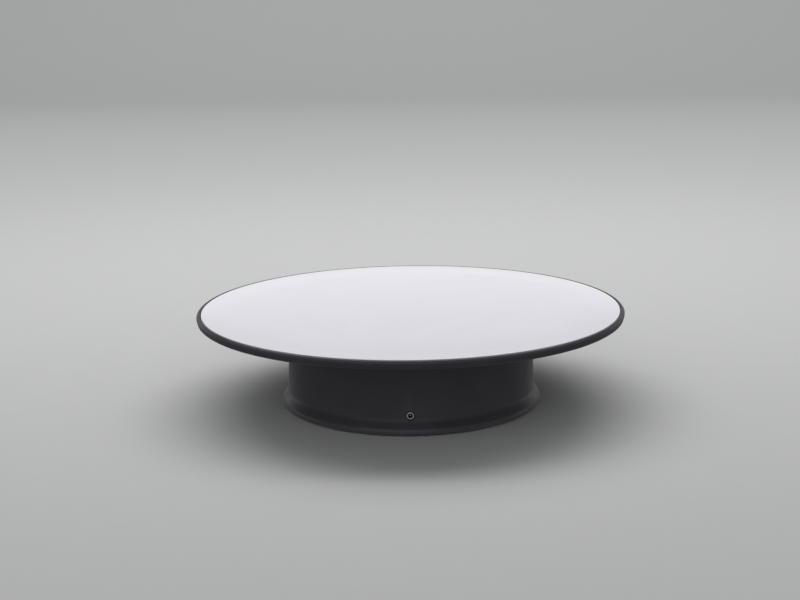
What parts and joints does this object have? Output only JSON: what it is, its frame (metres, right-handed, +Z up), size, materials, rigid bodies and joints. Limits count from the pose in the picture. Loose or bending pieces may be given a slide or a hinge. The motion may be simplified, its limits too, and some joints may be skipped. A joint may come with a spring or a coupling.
{
  "type": "turntable display stand",
  "caption": "Motorised display turntable: a round black platter with a flush white top turns on a drum base with a flared foot, a DC jack, a battery bay and a worm gearbox.",
  "frame": {"origin": "centre of the base on the surface the feet rest on", "axes": "+Z up along the platter's axis, -Y towards the side with the DC jack, +X to the right of it"},
  "size_m": [0.254, 0.254, 0.057],
  "materials": {
    "black_case": "fine satin moulding",
    "black_cover": "matte moulding",
    "white_disc": "smooth sheet",
    "rubber": "matte",
    "steel": "plated",
    "motor_steel": "zinc plated",
    "brass": "turned",
    "bronze": "sintered",
    "acetal": "moulded",
    "grey_frame": "moulded",
    "ferrite": "sintered",
    "laminations": "stacked sheet",
    "cell_jacket": "wrapped",
    "red_wire": "insulation",
    "black_wire": "insulation"
  },
  "bodies": {
    "base": {"base_shell": "black_case", "bottom_cover": "black_cover", "foot_right": "rubber", "foot_back": "rubber", "foot_left": "rubber", "foot_front": "rubber", "cover_screw_back_right": "steel", "cover_screw_back_left": "steel", "cover_screw_front_left": "steel", "cover_screw_front_right": "steel", "battery_cell": "cell_jacket", "contact_plate_minus": "steel", "contact_plate_plus": "steel", "contact_spring": "steel", "jack_body": "black_cover", "jack_bushing": "steel", "jack_pin": "steel", "switch_body": "steel", "wire_cell_minus": "black_wire", "wire_jack_minus": "black_wire", "wire_motor_plus": "red_wire", "wire_switch_feed": "red_wire", "wire_cell_plus": "red_wire", "gearbox_lower": "grey_frame", "gearbox_upper": "grey_frame", "gearbox_screw_1": "steel", "gearbox_screw_2": "steel", "gearbox_screw_3": "steel", "gearbox_screw_4": "steel", "axle_1": "steel", "axle_2": "steel", "spindle_bush": "bronze", "motor_can": "motor_steel", "motor_end_cap": "black_cover", "motor_magnet_right": "ferrite", "motor_magnet_left": "ferrite", "motor_terminal_plus": "brass", "motor_terminal_minus": "brass"},
    "turntable": {"platter": "black_case", "top_disc": "white_disc", "platter_screw": "steel", "spindle": "steel", "final_gear": "acetal"},
    "ball_ring": {"ball_cage": "acetal", "ball_1": "steel", "ball_2": "steel", "ball_3": "steel", "ball_4": "steel", "ball_5": "steel", "ball_6": "steel"},
    "gear_2": {"compound_gear_2": "acetal"},
    "gear_1": {"compound_gear_1": "acetal"},
    "rotor": {"motor_shaft": "steel", "motor_rotor": "laminations", "worm": "brass"},
    "door": {"battery_door": "black_cover"},
    "slider": {"switch_slider": "black_cover"}
  },
  "joints": [
    {"name": "platter_spin", "type": "hinge", "parent": "base", "child": "turntable", "pos_m": [0, 0, 0.05], "axis": [0, 0, 1], "continuous": true},
    {"name": "cage_spin", "type": "hinge", "parent": "base", "child": "ball_ring", "pos_m": [0, 0, 0.0516], "axis": [0, 0, 1], "continuous": true},
    {"name": "gear_2_spin", "type": "hinge", "parent": "base", "child": "gear_2", "pos_m": [-0.03007, -0.01979, 0.03], "axis": [0, 0, 1], "continuous": true},
    {"name": "gear_1_spin", "type": "hinge", "parent": "base", "child": "gear_1", "pos_m": [-0.016, -0.034, 0.022], "axis": [0, 0, 1], "continuous": true},
    {"name": "motor_spin", "type": "hinge", "parent": "base", "child": "rotor", "pos_m": [0, -0.01, 0.02], "axis": [0, 1, 0], "continuous": true},
    {"name": "battery_door_swing", "type": "hinge", "parent": "base", "child": "door", "pos_m": [0, 0.052, 0.0019], "axis": [1, 0, 0], "range_deg": [0, 95]},
    {"name": "switch_slide", "type": "slide", "parent": "base", "child": "slider", "axis": [1, 0, 0], "range_m": [0, 0.004]}
  ],
  "couplings": [
    {"joint": "cage_spin", "follows": "platter_spin", "ratio": 0.5},
    {"joint": "gear_2_spin", "follows": "platter_spin", "ratio": -5},
    {"joint": "gear_1_spin", "follows": "platter_spin", "ratio": 20},
    {"joint": "motor_spin", "follows": "platter_spin", "ratio": -600}
  ]
}
